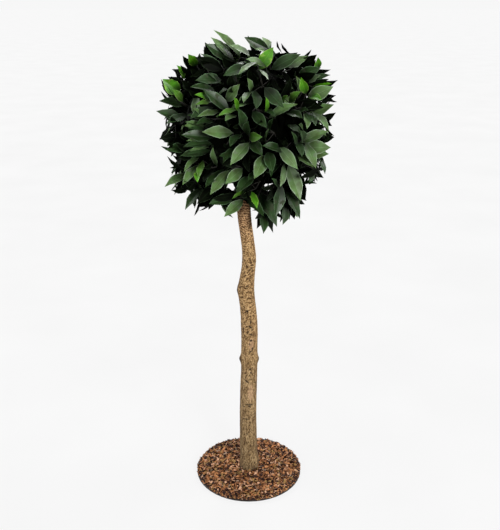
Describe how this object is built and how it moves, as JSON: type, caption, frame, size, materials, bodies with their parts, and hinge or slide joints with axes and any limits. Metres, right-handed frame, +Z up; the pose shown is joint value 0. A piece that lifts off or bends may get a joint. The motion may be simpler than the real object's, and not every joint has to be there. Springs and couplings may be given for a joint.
{
  "type": "artificial bay topiary tree",
  "caption": "Clipped block-round head of bay leaves on a clear wooden stem, standing on a flat round plate covered with bark chips. A decorative tree for a doorway or patio.",
  "frame": {"origin": "middle of the round plate's flat underside, on the surface that the tree stands on", "axes": "+Z up along the stem; the side that faces -Y is the front, as in the picture"},
  "size_m": [0.492, 0.4863, 1.341],
  "materials": {
    "base_plate": "dark brown powder coat, semi-matt",
    "bark_chips": "loose bark chips glued down, matt, tan to dark brown",
    "trunk_bark": "tan bark with fine fissures and dark flecks, matt",
    "bough_bark": "brown bark, matt",
    "foliage": "deep green leaves with a soft sheen, some young leaves bright green"
  },
  "bodies": {
    "root": {"base_plate": "base_plate", "bark_chip_bed": "bark_chips", "trunk": "trunk_bark", "bough_top": "bough_bark", "bough_upper_1": "bough_bark", "bough_upper_2": "bough_bark", "bough_upper_3": "bough_bark", "bough_upper_4": "bough_bark", "bough_upper_5": "bough_bark", "bough_lower_1": "bough_bark", "bough_lower_2": "bough_bark", "bough_lower_3": "bough_bark", "bough_lower_4": "bough_bark", "bough_lower_5": "bough_bark", "foliage_top": "foliage", "foliage_upper_1": "foliage", "foliage_upper_2": "foliage", "foliage_upper_3": "foliage", "foliage_upper_4": "foliage", "foliage_upper_5": "foliage", "foliage_lower_1": "foliage", "foliage_lower_2": "foliage", "foliage_lower_3": "foliage", "foliage_lower_4": "foliage", "foliage_lower_5": "foliage"}
  },
  "joints": []
}
